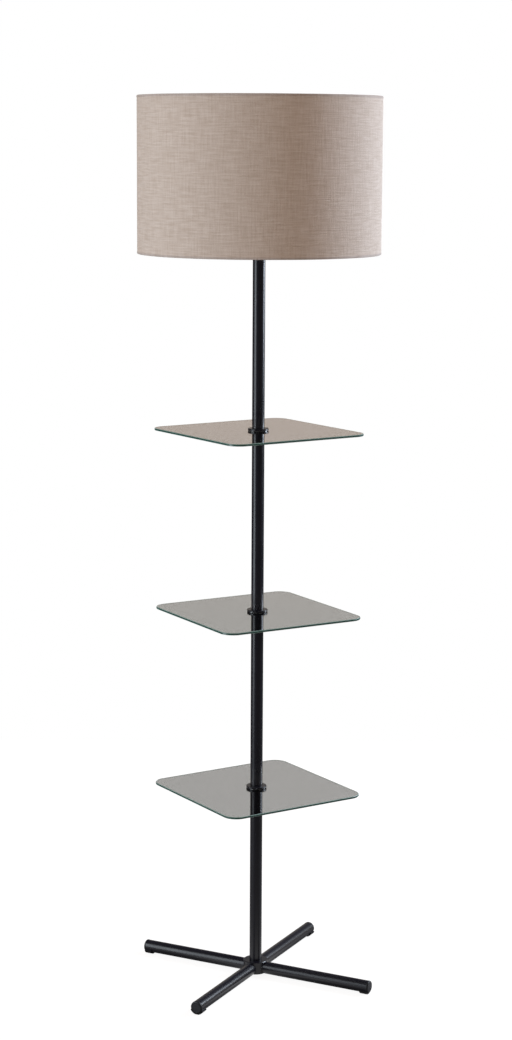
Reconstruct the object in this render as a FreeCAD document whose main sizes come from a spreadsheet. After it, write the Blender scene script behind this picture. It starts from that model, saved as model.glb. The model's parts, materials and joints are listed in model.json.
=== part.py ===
"""Shelf floor lamp: four tube legs on a hub, a pole in four sections, three glass shelves and a drum shade.

Millimetres, +Z up. The origin is on the floor, under the pole's axis. The front of the lamp looks along -Y.
Every driving size is a cell of the sheet "Sizes". A length that follows from others is an expression
on those cells, kept as text in a Python name and given to the pieces with setExpression.
"""

import FreeCAD
import Part
import Sketcher
import math
import os

Vector = FreeCAD.Vector
doc = FreeCAD.newDocument("shelf_floor_lamp")
sheet = doc.addObject("Spreadsheet::Sheet", "Sizes")
parts = []
rows = 0


# ---------------------------------------------------------------------------------------------
# Driving sizes
# ---------------------------------------------------------------------------------------------

def size(alias, number):
    """Put one driving size in the sheet and return the text that refers to it."""
    global rows
    rows += 1
    sheet.set(f"A{rows}", alias)
    sheet.set(f"B{rows}", str(number))
    sheet.setAlias(f"B{rows}", alias)
    return f"Sizes.{alias}"


# Pole and legs: one size of round steel tube.
pole_dia = size("pole_dia", 22.0)
pole_wall = size("pole_wall", 1.2)
leg_dia = size("leg_dia", 22.0)
leg_wall = size("leg_wall", 1.5)
leg_reach = size("leg_reach", 228.7)        # pole axis to the outer face of the foot cap
leg_yaw = size("leg_yaw", -26.74)           # degrees from +X to the first leg
first_section = size("first_section", 316.1)
shelf_section = size("shelf_section", 311.5)
top_section = size("top_section", 345.0)

# Foot caps.
cap_disc = size("cap_disc", 4.0)
cap_round = size("cap_round", 2.5)
cap_plug = size("cap_plug", 14.0)
foot_length = size("foot_length", 16.0)
foot_wall = size("foot_wall", 2.5)
foot_flat = size("foot_flat", 0.3)          # depth of the flat on the round sole
foot_wrap = size("foot_wrap", 130.0)        # degrees of the leg's underside that the sole covers

# Hub.
hub_dia = size("hub_dia", 44.0)
hub_above = size("hub_above", 13.0)         # above the leg axis
hub_below = size("hub_below", 9.4)          # below the leg axis
hub_wall = size("hub_wall", 4.0)
hub_bevel = size("hub_bevel", 1.0)
leg_bolt_dia = size("leg_bolt_dia", 6.0)
bolt_head_dia = size("bolt_head_dia", 10.0)
bolt_head_height = size("bolt_head_height", 4.0)
leg_plug_length = size("leg_plug_length", 18.0)
grommet_bore = size("grommet_bore", 6.2)
grommet_wall = size("grommet_wall", 1.1)
grommet_lip = size("grommet_lip", 1.2)
grommet_drop = size("grommet_drop", 3.2)    # below the leg axis

# Threaded nipples, their inserts in the tube ends and their nuts.
nipple_dia = size("nipple_dia", 10.0)
nipple_bore = size("nipple_bore", 8.0)
nipple_grip = size("nipple_grip", 10.0)     # length screwed into a tube's insert
insert_length = size("insert_length", 12.0)
nut_flats = size("nut_flats", 14.0)
nut_height = size("nut_height", 3.0)
washer_dia = size("washer_dia", 18.0)
washer_thick = size("washer_thick", 1.0)
lead_dia = size("lead_dia", 4.0)
lead_bend = size("lead_bend", 8.0)

# Shelves: a square of glass between two flanges, with a gasket on each face.
shelf_side = size("shelf_side", 278.8)
shelf_thick = size("shelf_thick", 4.0)
shelf_corner = size("shelf_corner", 25.0)
shelf_arris = size("shelf_arris", 0.8)
shelf_hole = size("shelf_hole", 16.0)
lower_shelf_yaw = size("lower_shelf_yaw", 32.58)
middle_shelf_yaw = size("middle_shelf_yaw", 30.19)
upper_shelf_yaw = size("upper_shelf_yaw", 33.48)
flange_dia = size("flange_dia", 36.5)
flange_thick = size("flange_thick", 3.5)
flange_bevel = size("flange_bevel", 0.5)
gasket_dia = size("gasket_dia", 35.0)
gasket_thick = size("gasket_thick", 0.8)

# Lamp socket. Heights are over the top of the pole.
cap_dia = size("cap_dia", 36.0)
cap_floor_dia = size("cap_floor_dia", 28.0)
cap_cone = size("cap_cone", 4.0)
cap_height = size("cap_height", 14.0)
cap_metal = size("cap_metal", 1.0)
socket_wall = size("socket_wall", 1.8)
shoulder_height = size("shoulder_height", 40.0)     # the shade's seat
shoulder_dia = size("shoulder_dia", 41.0)
shoulder_thick = size("shoulder_thick", 2.0)
sleeve_wall = size("sleeve_wall", 2.2)
sleeve_height = size("sleeve_height", 22.0)         # outer thread over the seat
insulator_height = size("insulator_height", 33.0)   # underside of the insulator
insulator_thick = size("insulator_thick", 3.0)
insulator_ledge = size("insulator_ledge", 2.0)
ledge_width = size("ledge_width", 1.5)
shell_metal = size("shell_metal", 0.45)
shell_mouth = size("shell_mouth", 2.0)              # shell's edge below the sleeve's edge
contact_dia = size("contact_dia", 3.6)
contact_head_dia = size("contact_head_dia", 5.6)
contact_head = size("contact_head", 1.5)
contact_spread = size("contact_spread", 0.7)        # shell's floor hole round the contact's head

# Switch: core in the socket's cavity, stem through its wall, knob outside.
switch_height = size("switch_height", 21.0)
stem_dia = size("stem_dia", 4.0)
stem_height = size("stem_height", 22.0)
stem_start = size("stem_start", 4.5)                # from the pole's axis
stem_length = size("stem_length", 26.0)
knob_dia = size("knob_dia", 14.0)
knob_length = size("knob_length", 13.0)
knob_stand_off = size("knob_stand_off", 2.0)
knob_round = size("knob_round", 1.2)
knob_grooves = size("knob_grooves", 16)
knob_groove_dia = size("knob_groove_dia", 1.6)

# Bulb.
bulb_thread_dia = size("bulb_thread_dia", 26.0)
bulb_tip_dia = size("bulb_tip_dia", 9.0)
bulb_tip_cone = size("bulb_tip_cone", 4.0)
bulb_base_height = size("bulb_base_height", 25.0)
bulb_base_metal = size("bulb_base_metal", 0.6)
bulb_neck = size("bulb_neck", 3.0)
bulb_body_height = size("bulb_body_height", 33.0)
globe_dia = size("globe_dia", 60.0)
globe_wall = size("globe_wall", 1.5)
globe_cut = size("globe_cut", 12.0)                 # plane of the globe's mouth below its centre

# Shade.
shade_dia = size("shade_dia", 422.0)
shade_height = size("shade_height", 269.0)
shade_drop = size("shade_drop", 40.8)               # rim below the top of the pole
cloth_thick = size("cloth_thick", 0.6)
liner_thick = size("liner_thick", 1.0)
liner_inset = size("liner_inset", 0.6)              # liner's edge inside the cloth's rim
rim_wire_dia = size("rim_wire_dia", 3.2)
rim_wire_inset = size("rim_wire_inset", 3.0)        # wire's axis inside the rim
fitter_dia = size("fitter_dia", 47.0)
fitter_thick = size("fitter_thick", 2.0)
arm_wire_dia = size("arm_wire_dia", 3.2)
arm_bend_radius = size("arm_bend_radius", 70.0)     # where an arm leaves the level of the fitter
arm_count = size("arm_count", 3)
ring_nut_dia = size("ring_nut_dia", 42.0)
ring_nut_height = size("ring_nut_height", 7.0)
ring_nut_notches = size("ring_nut_notches", 12)
ring_nut_notch_dia = size("ring_nut_notch_dia", 3.0)

# Clearances.
thread_gap = size("thread_gap", 0.05)       # each side of a thread, plug or turning stem
loose_gap = size("loose_gap", 0.2)          # each side of a bolt or nipple in a plain hole
sleeve_gap = size("sleeve_gap", 0.3)        # round a piece that turns on a sleeve
skin_gap = size("skin_gap", 0.05)           # between cloth, liner and rim wires
turn_gap = size("turn_gap", 0.1)            # over the fitter ring, under its nut

doc.recompute()


def number(expression):
    """The present value of an expression on the sheet, as a plain number."""
    result = sheet.evalExpression(expression)
    return float(getattr(result, "Value", result))


# ---------------------------------------------------------------------------------------------
# Levels and radii that follow from the driving sizes
# ---------------------------------------------------------------------------------------------

pole_radius = f"({pole_dia} / 2)"
pole_inside = f"({pole_dia} / 2 - {pole_wall})"
leg_radius = f"({leg_dia} / 2)"
leg_inside = f"({leg_dia} / 2 - {leg_wall})"
leg_end = f"({leg_reach} - {cap_disc})"
leg_axis = f"({leg_radius} + {foot_wall} - {foot_flat})"

hub_radius = f"({hub_dia} / 2)"
hub_inside = f"({hub_radius} - {hub_wall})"
hub_height = f"({hub_above} + {hub_below})"
hub_bottom = f"({leg_axis} - {hub_below})"
hub_top = f"({leg_axis} + {hub_above})"
hub_ceiling = f"({hub_top} - {hub_wall})"

nipple_radius = f"({nipple_dia} / 2)"
nipple_hole = f"({nipple_radius} + {loose_gap})"
nipple_thread = f"({nipple_radius} + {thread_gap})"
flange_radius = f"({flange_dia} / 2)"

glass_bottom = f"({flange_thick} + {gasket_thick})"
glass_top = f"({glass_bottom} + {shelf_thick})"
shelf_stack = f"({glass_top} + {gasket_thick} + {flange_thick})"
lower_joint = f"({hub_top} + {first_section})"
middle_joint = f"({lower_joint} + {shelf_stack} + {shelf_section})"
upper_joint = f"({middle_joint} + {shelf_stack} + {shelf_section})"
top_start = f"({upper_joint} + {shelf_stack})"
pole_top = f"({top_start} + {top_section})"

# Socket levels, over the top of the pole.
ledge_bottom = f"({insulator_height} - {insulator_ledge})"
insulator_top = f"({insulator_height} + {insulator_thick})"
contact_top = f"({insulator_top} + {contact_head})"
bulb_start = f"({contact_top} + {loose_gap})"
sleeve_top = f"({shoulder_height} + {sleeve_height})"
switch_bottom = f"({ledge_bottom} - {switch_height})"
bulb_thread_radius = f"({bulb_thread_dia} / 2)"
shell_inside = f"({bulb_thread_radius} + {sleeve_gap})"
shell_outside = f"({shell_inside} + {shell_metal})"
socket_bore = f"({shell_outside} + {loose_gap})"
sleeve_radius = f"({socket_bore} + {sleeve_wall})"
cap_radius = f"({cap_dia} / 2)"
skirt_radius = f"({cap_radius} - {cap_metal} - {loose_gap})"
cavity_radius = f"({skirt_radius} - {socket_wall})"
stem_radius = f"({stem_dia} / 2)"
stem_end = f"({stem_start} + {stem_length})"

shade_radius = f"({shade_dia} / 2)"
shade_bottom = f"({pole_top} - {shade_drop})"
shade_top = f"({shade_bottom} + {shade_height})"
liner_radius = f"({shade_radius} - {cloth_thick} - {skin_gap})"
rim_wire_radius = f"({liner_radius} - {liner_thick} - {skin_gap} - {rim_wire_dia} / 2)"


# ---------------------------------------------------------------------------------------------
# Ways of making a piece
# ---------------------------------------------------------------------------------------------

def new_body(name):
    """An empty body under its own name."""
    body = doc.addObject("PartDesign::Body", name)
    body.Label = name
    return body


def new_sketch(body, role):
    """A sketch on one of the body's own origin planes."""
    sketch = body.newObject("Sketcher::SketchObject", f"{body.Name}_sketch")
    plane = next(item for item in body.Origin.OriginFeatures if item.Role == role)
    sketch.AttachmentSupport = [(plane, "")]
    sketch.MapMode = "FlatFace"
    return sketch


def hold(sketch, kind, *where, expression):
    """Add a dimension to the sketch and bind it to an expression."""
    index = sketch.addConstraint(Sketcher.Constraint(kind, *where, number(expression)))
    sketch.setExpression(f"Constraints[{index}]", expression)


def draw_outline(sketch, corners):
    """A closed outline of straight lines. Each corner is a pair of expressions, (across, up)."""
    places = [Vector(number(across), number(up), 0) for across, up in corners]
    count = len(corners)
    for index in range(count):
        sketch.addGeometry(Part.LineSegment(places[index], places[(index + 1) % count]))
    for index in range(count):
        sketch.addConstraint(Sketcher.Constraint("Coincident", index, 2, (index + 1) % count, 1))
    for index, (across, up) in enumerate(corners):
        hold(sketch, "DistanceX", index, 1, expression=across)
        hold(sketch, "DistanceY", index, 1, expression=up)


def draw_circle(sketch, radius, across="0", up="0"):
    """A full circle of the given radius about the given centre."""
    centre = Vector(number(across), number(up), 0)
    index = sketch.addGeometry(Part.Circle(centre, Vector(0, 0, 1), number(radius)))
    hold(sketch, "Radius", index, expression=radius)
    hold(sketch, "DistanceX", index, 3, expression=across)
    hold(sketch, "DistanceY", index, 3, expression=up)


def turned(name, corners, axis="V_Axis"):
    """A piece turned about its own Z axis (V_Axis) or X axis (H_Axis)."""
    body = new_body(name)
    sketch = new_sketch(body, "XZ_Plane")
    draw_outline(sketch, corners)
    turn = body.newObject("PartDesign::Revolution", f"{name}_turn")
    turn.Profile = sketch
    turn.ReferenceAxis = (sketch, [axis])
    turn.Angle = 360
    return body


def ring(name, inside, outside, bottom, top):
    """A plain ring or tube about the Z axis. An inside of 0 makes a solid disc."""
    return turned(name, [(inside, bottom), (outside, bottom), (outside, top), (inside, top)])


def cut(body, sketch, toward=None):
    """Pocket the sketch through the body: both ways, or only toward the given direction."""
    doc.recompute()
    volume = body.Shape.Volume
    centre = body.Shape.CenterOfGravity
    pocket = body.newObject("PartDesign::Pocket", f"{body.Name}_pocket")
    pocket.Profile = sketch
    pocket.Type = "ThroughAll"
    pocket.SideType = "One side" if toward else "Symmetric"
    doc.recompute()
    if toward and (body.Shape.CenterOfGravity - centre).dot(toward) >= 0:
        pocket.Reversed = True
        doc.recompute()
    if volume - body.Shape.Volume < 0.01:
        raise RuntimeError(f"{body.Name}: the pocket removes nothing")
    return pocket


def edges_where(body, chosen):
    """Names of the edges of the body's present shape that the test accepts."""
    doc.recompute()
    shape = body.Tip.Shape
    return [f"Edge{index}" for index, edge in enumerate(shape.Edges, 1) if chosen(edge)]


def dress(body, kind, sizing, expression, chosen):
    """A fillet or chamfer on the chosen edges of the body."""
    names = edges_where(body, chosen)
    base = body.Tip
    feature = body.newObject(f"PartDesign::{kind}", f"{body.Name}_{kind.lower()}")
    feature.Base = (base, names)
    feature.setExpression(sizing, expression)
    return feature


def around(body, feature, sketch, axis, count, name):
    """Repeat a feature evenly about one of the sketch's axes."""
    pattern = body.newObject("PartDesign::PolarPattern", f"{body.Name}_{name}")
    pattern.Originals = [feature]
    pattern.Axis = (sketch, [axis])
    pattern.Angle = 360
    pattern.setExpression("Occurrences", count)
    body.Tip = pattern
    return pattern


def place(piece, level="0", yaw="0"):
    """Lift a piece to its level and turn it about the pole's axis."""
    turn = f"rotation(vector(0; 0; 1); {yaw})"
    piece.setExpression("Placement", f"placement(vector(0; 0; {level}); {turn})")


def keep(piece):
    """List a finished piece for checking and writing."""
    parts.append(piece)
    return piece


def group(name, members):
    """Several like pieces, each a solid of its own, under one name."""
    bundle = doc.addObject("Part::Compound", name)
    bundle.Label = name
    bundle.Links = members
    return keep(bundle)


def fuse(name, members):
    """One solid out of several overlapping ones."""
    whole = doc.addObject("Part::MultiFuse", name)
    whole.Label = name
    whole.Shapes = members
    return whole


def rod(name, radius, length):
    """A round bar that stands on its own origin."""
    bar = doc.addObject("Part::Cylinder", name)
    bar.setExpression("Radius", radius)
    bar.setExpression("Height", length)
    return bar


def hex_nut(name, height, bore):
    """A plain hexagon nut of the common width across flats, its underside at zero."""
    block = doc.addObject("Part::Prism", f"{name}_block")
    block.Polygon = 6
    block.setExpression("Circumradius", f"{nut_flats} / sqrt(3)")
    block.setExpression("Height", height)
    hole = doc.addObject("Part::Cylinder", f"{name}_hole")
    hole.setExpression("Radius", bore)
    hole.setExpression("Height", height)
    nut = doc.addObject("Part::Cut", name)
    nut.Label = name
    nut.Base = block
    nut.Tool = hole
    return nut


LEG_NAMES = ("right", "back", "left", "front")


def leg_direction(index):
    """Yaw of one of the four legs, as an expression in degrees."""
    return f"({leg_yaw} + {index} * 90)"


# The cord enters halfway between the back leg and the left leg.
cord_yaw = leg_direction(1.5)
cord_level = f"({leg_axis} - {grommet_drop})"


# ---------------------------------------------------------------------------------------------
# Base: hub, legs, foot caps and what bolts them together
# ---------------------------------------------------------------------------------------------

def make_hub():
    """Cup, open below, with four bolt holes in its side, a cord hole at the back and one for the nipple."""
    ceiling = f"({hub_height} - {hub_wall})"
    hub = turned("base_hub", [
        (hub_inside, "0"),
        (f"{hub_radius} - {hub_bevel}", "0"),
        (hub_radius, hub_bevel),
        (hub_radius, f"{hub_height} - {hub_bevel}"),
        (f"{hub_radius} - {hub_bevel}", hub_height),
        (nipple_hole, hub_height),
        (nipple_hole, ceiling),
        (hub_inside, ceiling),
    ])
    for role in ("XZ_Plane", "YZ_Plane"):
        holes = new_sketch(hub, role)
        draw_circle(holes, f"{leg_bolt_dia} / 2 + {loose_gap}", up=hub_below)
        cut(hub, holes)
    cord_hole = new_sketch(hub, "XZ_Plane")
    between_legs = FreeCAD.Rotation(Vector(0, 1, 0), 45)
    cord_hole.AttachmentOffset = FreeCAD.Placement(Vector(0, 0, 0), between_legs)
    draw_circle(cord_hole, f"{grommet_bore} / 2 + {grommet_wall}", up=f"{hub_below} - {grommet_drop}")
    cut(hub, cord_hole, toward=Vector(-1, 1, 0))
    place(hub, hub_bottom, leg_yaw)
    keep(hub)


def make_legs():
    """Four tubes whose roots are coped to the hub's round side."""
    for index, side in enumerate(LEG_NAMES):
        leg = turned(f"leg_tube_{side}", [
            (hub_inside, leg_inside),
            (leg_end, leg_inside),
            (leg_end, leg_radius),
            (hub_inside, leg_radius),
        ], axis="H_Axis")
        cope = new_sketch(leg, "XY_Plane")
        draw_circle(cope, hub_radius)
        cut(leg, cope)
        place(leg, leg_axis, leg_direction(index))
        keep(leg)


def make_foot_caps():
    """Plastic caps: a plug in the tube, a rounded disc on its end and a sole that wraps its underside."""
    disc_radius = f"({leg_radius} + 3 * {thread_gap})"
    plug_radius = f"({leg_inside} - {thread_gap})"
    sole_start = f"({leg_reach} - {foot_length})"
    sole_end = f"({leg_reach} - {cap_round} - {loose_gap})"
    sole_inside = f"(-{leg_radius} - {thread_gap})"
    sole_outside = f"(-{leg_radius} - {foot_wall})"
    for index, side in enumerate(LEG_NAMES):
        cap = turned(f"foot_cap_{side}", [
            (f"{leg_end} - {cap_plug}", "0"),
            (leg_reach, "0"),
            (leg_reach, disc_radius),
            (leg_end, disc_radius),
            (leg_end, plug_radius),
            (f"{leg_end} - {cap_plug}", plug_radius),
        ], axis="H_Axis")
        sole_sketch = new_sketch(cap, "XZ_Plane")
        draw_outline(sole_sketch, [
            (sole_start, sole_inside),
            (sole_end, sole_inside),
            (sole_end, sole_outside),
            (sole_start, sole_outside),
        ])
        sole = cap.newObject("PartDesign::Revolution", f"{cap.Name}_sole")
        sole.Profile = sole_sketch
        sole.ReferenceAxis = (sole_sketch, ["H_Axis"])
        sole.setExpression("Angle", foot_wrap)
        sole.Midplane = True
        floor = f"(-{leg_axis})"
        below = f"(-{leg_axis} - {foot_wall})"
        flat = new_sketch(cap, "XZ_Plane")
        draw_outline(flat, [
            (f"{sole_start} - 1", below),
            (f"{leg_reach} + 1", below),
            (f"{leg_reach} + 1", floor),
            (f"{sole_start} - 1", floor),
        ])
        cut(cap, flat)
        reach = number(leg_reach)
        dress(cap, "Fillet", "Radius", cap_round, lambda edge: (
            isinstance(edge.Curve, Part.Circle)
            and abs(edge.CenterOfMass.x - reach) < 0.01
            and abs(edge.Curve.Axis.x) > 0.99
        ))
        place(cap, leg_axis, leg_direction(index))
        keep(cap)


def make_leg_fastenings():
    """A threaded plug in each leg's root, and a bolt into it from inside the hub."""
    bolt_radius = f"({leg_bolt_dia} / 2)"
    head_radius = f"({bolt_head_dia} / 2)"
    plug_start = f"({hub_radius} + {loose_gap})"
    plug_end = f"({plug_start} + {leg_plug_length})"
    seat = f"(sqrt({hub_inside} ^ 2 - {head_radius} ^ 2) - {thread_gap})"
    plugs = []
    bolts = []
    for index in range(len(LEG_NAMES)):
        plug = turned(f"leg_root_plug_{index + 1}", [
            (plug_start, f"{bolt_radius} + {thread_gap}"),
            (plug_end, f"{bolt_radius} + {thread_gap}"),
            (plug_end, f"{leg_inside} - {thread_gap}"),
            (plug_start, f"{leg_inside} - {thread_gap}"),
        ], axis="H_Axis")
        bolt = turned(f"leg_bolt_{index + 1}", [
            (f"{seat} - {bolt_head_height}", "0"),
            (plug_end, "0"),
            (plug_end, bolt_radius),
            (seat, bolt_radius),
            (seat, head_radius),
            (f"{seat} - {bolt_head_height}", head_radius),
        ], axis="H_Axis")
        for piece in (plug, bolt):
            place(piece, leg_axis, leg_direction(index))
        plugs.append(plug)
        bolts.append(bolt)
    group("leg_root_plugs", plugs)
    group("leg_bolts", bolts)


def make_grommet():
    """Rubber bush that lines the cord hole, with a lip on each face of the hub's wall."""
    bore = f"({grommet_bore} / 2)"
    neck = f"({bore} + {grommet_wall} - {thread_gap})"
    lip = f"({bore} + {grommet_wall} + {grommet_lip})"
    inner_face = f"(sqrt({hub_inside} ^ 2 - {lip} ^ 2) - {thread_gap})"
    outer_face = f"({hub_radius} + {thread_gap})"
    grommet = turned("cord_grommet", [
        (f"{inner_face} - {grommet_lip}", bore),
        (f"{outer_face} + {grommet_lip}", bore),
        (f"{outer_face} + {grommet_lip}", lip),
        (outer_face, lip),
        (outer_face, neck),
        (inner_face, neck),
        (inner_face, lip),
        (f"{inner_face} - {grommet_lip}", lip),
    ], axis="H_Axis")
    place(grommet, cord_level, cord_yaw)
    keep(grommet)


def make_base_fixing():
    """Nipple from the hub into the pole with its washer; returns the nut under the hub's ceiling."""
    nut_bottom = f"({hub_ceiling} - {washer_thick} - {nut_height})"
    keep(ring("base_nipple", f"{nipple_bore} / 2", nipple_radius,
              f"{nut_bottom} - {loose_gap}", f"{hub_top} + {nipple_grip}"))
    washer = ring("base_washer", nipple_hole, f"{washer_dia} / 2", "0", washer_thick)
    place(washer, f"{hub_ceiling} - {washer_thick}")
    keep(washer)
    nut = hex_nut("base_nut", nut_height, nipple_thread)
    place(nut, nut_bottom, leg_yaw)
    return nut


# ---------------------------------------------------------------------------------------------
# Pole and shelves
# ---------------------------------------------------------------------------------------------

SECTIONS = (
    ("first", hub_top, first_section),
    ("second", f"({lower_joint} + {shelf_stack})", shelf_section),
    ("third", f"({middle_joint} + {shelf_stack})", shelf_section),
    ("top", top_start, top_section),
)


SHELVES = (
    ("lower", lower_joint, lower_shelf_yaw),
    ("middle", middle_joint, middle_shelf_yaw),
    ("upper", upper_joint, upper_shelf_yaw),
)


def make_pole():
    """Four lengths of tube with a threaded insert in each end."""
    inserts = []
    for name, bottom, length in SECTIONS:
        tube = ring(f"pole_tube_{name}", pole_inside, pole_radius, "0", length)
        place(tube, bottom)
        keep(tube)
        for end, level in (("low", bottom), ("high", f"({bottom} + {length} - {insert_length})")):
            insert = ring(f"pole_insert_{name}_{end}", nipple_thread, f"{pole_inside} - {thread_gap}",
                          "0", insert_length)
            place(insert, level)
            inserts.append(insert)
    group("pole_inserts", inserts)


def make_glass(name):
    """Square plate with rounded corners, ground edges and a hole at its centre."""
    half = f"({shelf_side} / 2)"
    glass = new_body(name)
    outline = new_sketch(glass, "XY_Plane")
    draw_outline(outline, [
        (f"-{half}", f"-{half}"),
        (half, f"-{half}"),
        (half, half),
        (f"-{half}", half),
    ])
    plate = glass.newObject("PartDesign::Pad", f"{name}_plate")
    plate.Profile = outline
    plate.setExpression("Length", shelf_thick)
    dress(glass, "Fillet", "Radius", shelf_corner, lambda edge: edge.BoundBox.ZLength > 0.1)
    dress(glass, "Chamfer", "Size", shelf_arris, lambda edge: edge.BoundBox.ZLength < 0.001)
    hole = new_sketch(glass, "XY_Plane")
    draw_circle(hole, f"{shelf_hole} / 2")
    cut(glass, hole)
    return glass


def make_shelf(level, joint, yaw):
    """One shelf: glass between gaskets and flanges, on a sleeve; returns the nipple that joins two tubes."""
    glass = make_glass(f"{level}_shelf_glass")
    place(glass, f"{joint} + {glass_bottom}", yaw)
    keep(glass)

    bevelled = f"({flange_radius} - {flange_bevel})"
    flange_under = turned(f"{level}_flange_under", [
        (nipple_hole, "0"),
        (bevelled, "0"),
        (flange_radius, flange_bevel),
        (flange_radius, flange_thick),
        (nipple_hole, flange_thick),
    ])
    flange_over = turned(f"{level}_flange_over", [
        (nipple_hole, "0"),
        (flange_radius, "0"),
        (flange_radius, f"{flange_thick} - {flange_bevel}"),
        (bevelled, flange_thick),
        (nipple_hole, flange_thick),
    ])
    gasket_radius = f"({gasket_dia} / 2)"
    gasket_under = ring(f"{level}_gasket_under", nipple_hole, gasket_radius, "0", gasket_thick)
    gasket_over = ring(f"{level}_gasket_over", nipple_hole, gasket_radius, "0", gasket_thick)
    sleeve = ring(f"{level}_shelf_sleeve", nipple_hole, f"{shelf_hole} / 2 - {sleeve_gap}",
                  "0", f"{shelf_thick} - 2 * {thread_gap}")
    nipple = ring(f"{level}_shelf_nipple", f"{nipple_bore} / 2", nipple_radius,
                  "0", f"{shelf_stack} + 2 * {nipple_grip}")
    for piece, height in (
        (flange_under, "0"),
        (gasket_under, flange_thick),
        (sleeve, f"{glass_bottom} + {thread_gap}"),
        (gasket_over, glass_top),
        (flange_over, f"{glass_top} + {gasket_thick}"),
    ):
        place(piece, f"{joint} + {height}")
        keep(piece)
    place(nipple, f"{joint} - {nipple_grip}")
    return nipple


def make_lead():
    """The lead that the pole holds, from the switch down to the grommet, with one bend in the hub."""
    lead_top = f"({pole_top} + {switch_bottom} - {thread_gap})"
    bend_level = f"({cord_level} + {lead_bend})"
    lead = new_body("inner_lead")
    route = new_sketch(lead, "XZ_Plane")
    stops = (("0", lead_top), ("0", bend_level), (lead_bend, cord_level), (hub_inside, cord_level))
    top, bend_start, bend_end, outlet = [Vector(number(across), number(up), 0) for across, up in stops]
    route.addGeometry(Part.LineSegment(top, bend_start))
    corner = Part.Circle(Vector(bend_end.x, bend_start.y, 0), Vector(0, 0, 1), bend_end.x)
    route.addGeometry(Part.ArcOfCircle(corner, math.pi, 1.5 * math.pi))
    route.addGeometry(Part.LineSegment(bend_end, outlet))
    route.addConstraint(Sketcher.Constraint("Coincident", 0, 2, 1, 1))
    route.addConstraint(Sketcher.Constraint("Coincident", 1, 2, 2, 1))
    hold(route, "Radius", 1, expression=lead_bend)
    for (line, end), (across, up) in zip(((0, 1), (0, 2), (2, 1), (2, 2)), stops):
        hold(route, "DistanceX", line, end, expression=across)
        hold(route, "DistanceY", line, end, expression=up)
    section = new_sketch(lead, "XY_Plane")
    section.setExpression("AttachmentOffset.Base.z", lead_top)
    draw_circle(section, f"{lead_dia} / 2")
    doc.recompute()
    pipe = lead.newObject("PartDesign::AdditivePipe", "lead_pipe")
    pipe.Profile = section
    pipe.Spine = (route, ["Edge1", "Edge2", "Edge3"])
    place(lead, "0", cord_yaw)
    keep(lead)


# ---------------------------------------------------------------------------------------------
# Socket and switch
# ---------------------------------------------------------------------------------------------

def make_socket_cap():
    """Steel cup on the pole's top and the nipple that holds it; returns the nut inside the cup."""
    floor_radius = f"({cap_floor_dia} / 2)"
    cap = turned("socket_cap", [
        (nipple_hole, "0"),
        (floor_radius, "0"),
        (cap_radius, cap_cone),
        (cap_radius, cap_height),
        (f"{cap_radius} - {cap_metal}", cap_height),
        (f"{cap_radius} - {cap_metal}", f"{cap_cone} + {cap_metal} / 2"),
        (f"{floor_radius} - {cap_metal} / 2", cap_metal),
        (nipple_hole, cap_metal),
    ])
    place(cap, pole_top)
    keep(cap)
    nipple = ring("top_nipple", f"{nipple_bore} / 2", nipple_radius,
                  "0", f"{nipple_grip} + {cap_metal} + {nut_height} + {loose_gap}")
    place(nipple, f"{pole_top} - {nipple_grip}")
    keep(nipple)
    nut = hex_nut("socket_nut", nut_height, nipple_thread)
    place(nut, f"{pole_top} + {cap_metal}")
    return nut


def make_socket_body():
    """Moulded socket: a skirt in the cap, a barrel, the shade's seat and a threaded sleeve above it."""
    shoulder_radius = f"({shoulder_dia} / 2)"
    shoulder_under = f"({shoulder_height} - {shoulder_thick})"
    skirt_bottom = f"({cap_cone} + {cap_metal})"
    barrel_bottom = f"({cap_height} + {thread_gap})"
    body = turned("socket_body", [
        (cavity_radius, skirt_bottom),
        (skirt_radius, skirt_bottom),
        (skirt_radius, barrel_bottom),
        (cap_radius, barrel_bottom),
        (cap_radius, shoulder_under),
        (shoulder_radius, shoulder_under),
        (shoulder_radius, shoulder_height),
        (sleeve_radius, shoulder_height),
        (sleeve_radius, sleeve_top),
        (socket_bore, sleeve_top),
        (socket_bore, insulator_height),
        (f"{socket_bore} - {ledge_width}", insulator_height),
        (f"{socket_bore} - {ledge_width}", ledge_bottom),
        (cavity_radius, ledge_bottom),
    ])
    stem_hole = new_sketch(body, "YZ_Plane")
    draw_circle(stem_hole, f"{stem_radius} + {sleeve_gap}", up=stem_height)
    cut(body, stem_hole, toward=Vector(1, 0, 0))
    place(body, pole_top)
    keep(body)


def make_contacts():
    """Insulator, centre contact and the brass shell that the bulb screws into."""
    contact_radius = f"({contact_dia} / 2)"
    head_radius = f"({contact_head_dia} / 2)"
    insulator = ring("socket_insulator", f"{contact_radius} + {thread_gap}", f"{socket_bore} - {thread_gap}",
                     insulator_height, insulator_top)
    contact = turned("centre_contact", [
        ("0", ledge_bottom),
        (contact_radius, ledge_bottom),
        (contact_radius, insulator_top),
        (head_radius, insulator_top),
        (head_radius, contact_top),
        ("0", contact_top),
    ])
    floor_hole = f"({head_radius} + {contact_spread})"
    shell_top = f"({sleeve_top} - {shell_mouth})"
    shell = turned("screw_shell", [
        (floor_hole, insulator_top),
        (shell_outside, insulator_top),
        (shell_outside, shell_top),
        (shell_inside, shell_top),
        (shell_inside, f"{insulator_top} + {shell_metal}"),
        (floor_hole, f"{insulator_top} + {shell_metal}"),
    ])
    for piece in (insulator, contact, shell):
        place(piece, pole_top)
        keep(piece)


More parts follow.
